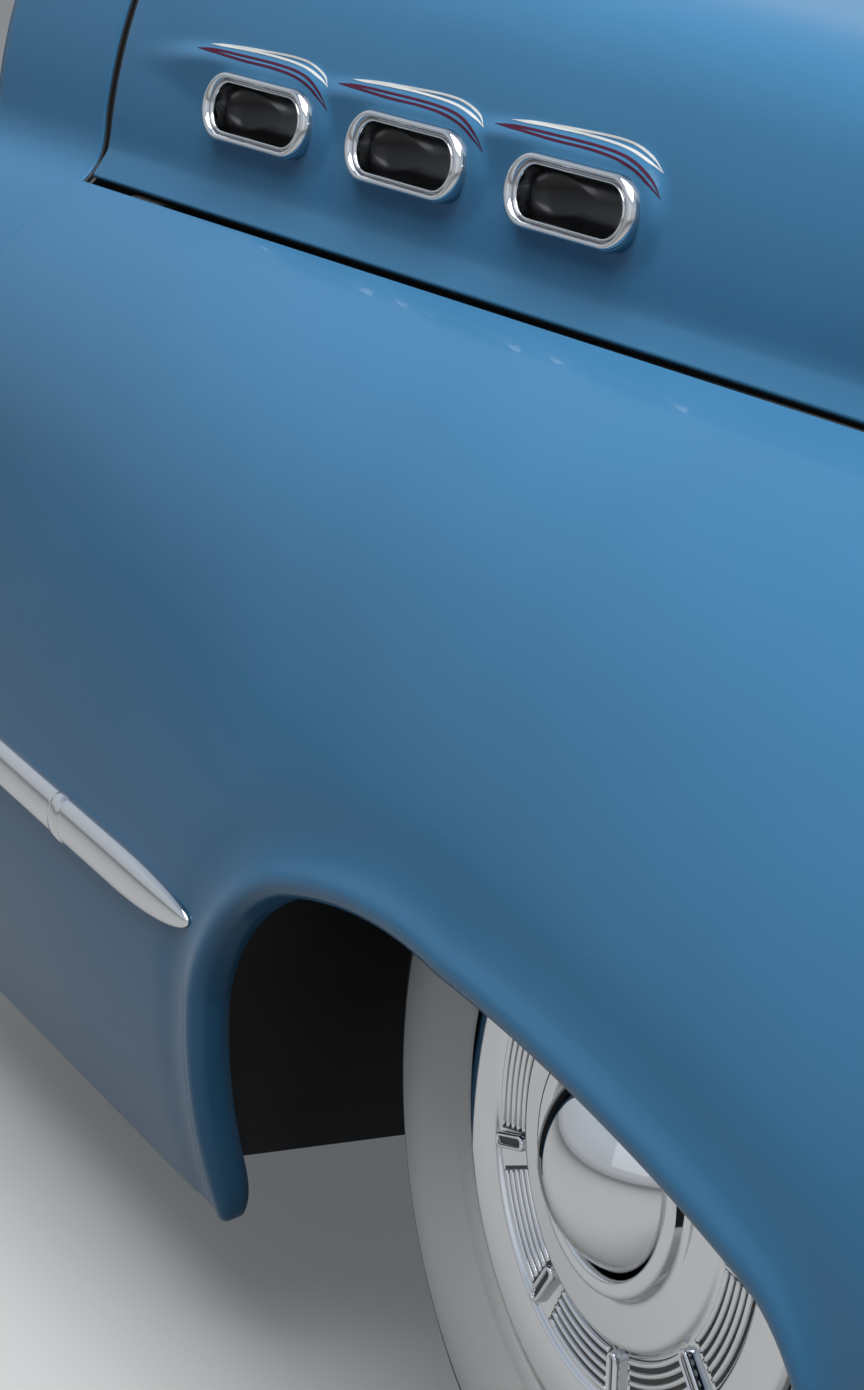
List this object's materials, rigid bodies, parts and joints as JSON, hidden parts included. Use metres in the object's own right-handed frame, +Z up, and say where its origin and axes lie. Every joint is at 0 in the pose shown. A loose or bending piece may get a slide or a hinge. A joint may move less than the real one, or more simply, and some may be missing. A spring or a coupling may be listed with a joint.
{
  "type": "right front corner of a 1950s classic car",
  "caption": "Car front corner with fender, hood half, cowl, whitewalled steered wheel, brake, suspension and frame rail, bolted at its crossmember",
  "frame": {"origin": "centre of the crossmember's bolted flange, on the car's centre plane at axle height and on the front axle line", "axes": "+X forward along the car, +Y to the car's left out of the flange, +Z up"},
  "size_m": [2.0103, 0.983, 1.1049],
  "materials": {
    "blue_paint": "gloss",
    "black_enamel": "satin",
    "chrome": "polished",
    "mirror": "polished",
    "lamp_glass": "clear",
    "rubber": "matte",
    "spring_steel": "satin",
    "forged_steel": "rough",
    "cast_iron": "rough",
    "wheel_enamel": "gloss",
    "tyre": "matte",
    "white_rubber": "matte",
    "black_plastic": "satin"
  },
  "bodies": {
    "root": {"fender": "blue_paint", "cowl_panel": "blue_paint", "firewall": "black_enamel", "wheelhouse": "black_enamel", "inner_apron": "black_enamel", "radiator_support": "black_enamel", "side_moulding": "chrome", "headlamp_bezel": "chrome", "headlamp_bucket": "mirror", "headlamp_lens": "lamp_glass", "parking_lamp_bezel": "chrome", "parking_lamp_bucket": "mirror", "parking_lamp_lens": "lamp_glass", "hood_buffer_1": "rubber", "hood_buffer_2": "rubber", "frame_rail": "black_enamel", "crossmember": "black_enamel", "upper_arm": "black_enamel", "lower_arm": "black_enamel", "coil_spring": "spring_steel", "shock_absorber": "spring_steel", "hood_hinge_bracket": "black_enamel", "bumper_bracket": "black_enamel", "cowl_outrigger": "black_enamel"},
    "steering_knuckle": {"knuckle": "forged_steel", "backing_plate": "forged_steel"},
    "wheel": {"brake_drum": "cast_iron", "wheel_rim": "wheel_enamel", "tyre": "tyre", "whitewall": "white_rubber", "wheel_cover": "chrome", "hub_dome": "chrome"},
    "hood": {"hood": "blue_paint", "hood_hinge_arm": "black_enamel", "port_bezel_1": "chrome", "port_bezel_2": "chrome", "port_bezel_3": "chrome", "port_cup_1": "black_plastic", "port_cup_2": "black_plastic", "port_cup_3": "black_plastic"},
    "tie_rod": {"tie_rod": "forged_steel"}
  },
  "joints": [
    {"name": "steer", "type": "hinge", "parent": "root", "child": "steering_knuckle", "pos_m": [0, -0.665, 0], "axis": [0, 0, 1], "range_deg": [-22, 22]},
    {"name": "wheel_spin", "type": "hinge", "parent": "steering_knuckle", "child": "wheel", "pos_m": [0, -0.75, 0], "axis": [0, 1, 0], "continuous": true},
    {"name": "tie_rod_turn", "type": "hinge", "parent": "steering_knuckle", "child": "tie_rod", "pos_m": [-0.165, -0.63, -0.088], "axis": [0, 0, 1], "range_deg": [-23, 23]},
    {"name": "hood_lift", "type": "hinge", "parent": "root", "child": "hood", "pos_m": [-1.08, -0.556, 0.68], "axis": [0, -1, 0], "range_deg": [0, 50]}
  ],
  "couplings": [
    {"joint": "tie_rod_turn", "follows": "steer", "ratio": -1}
  ]
}
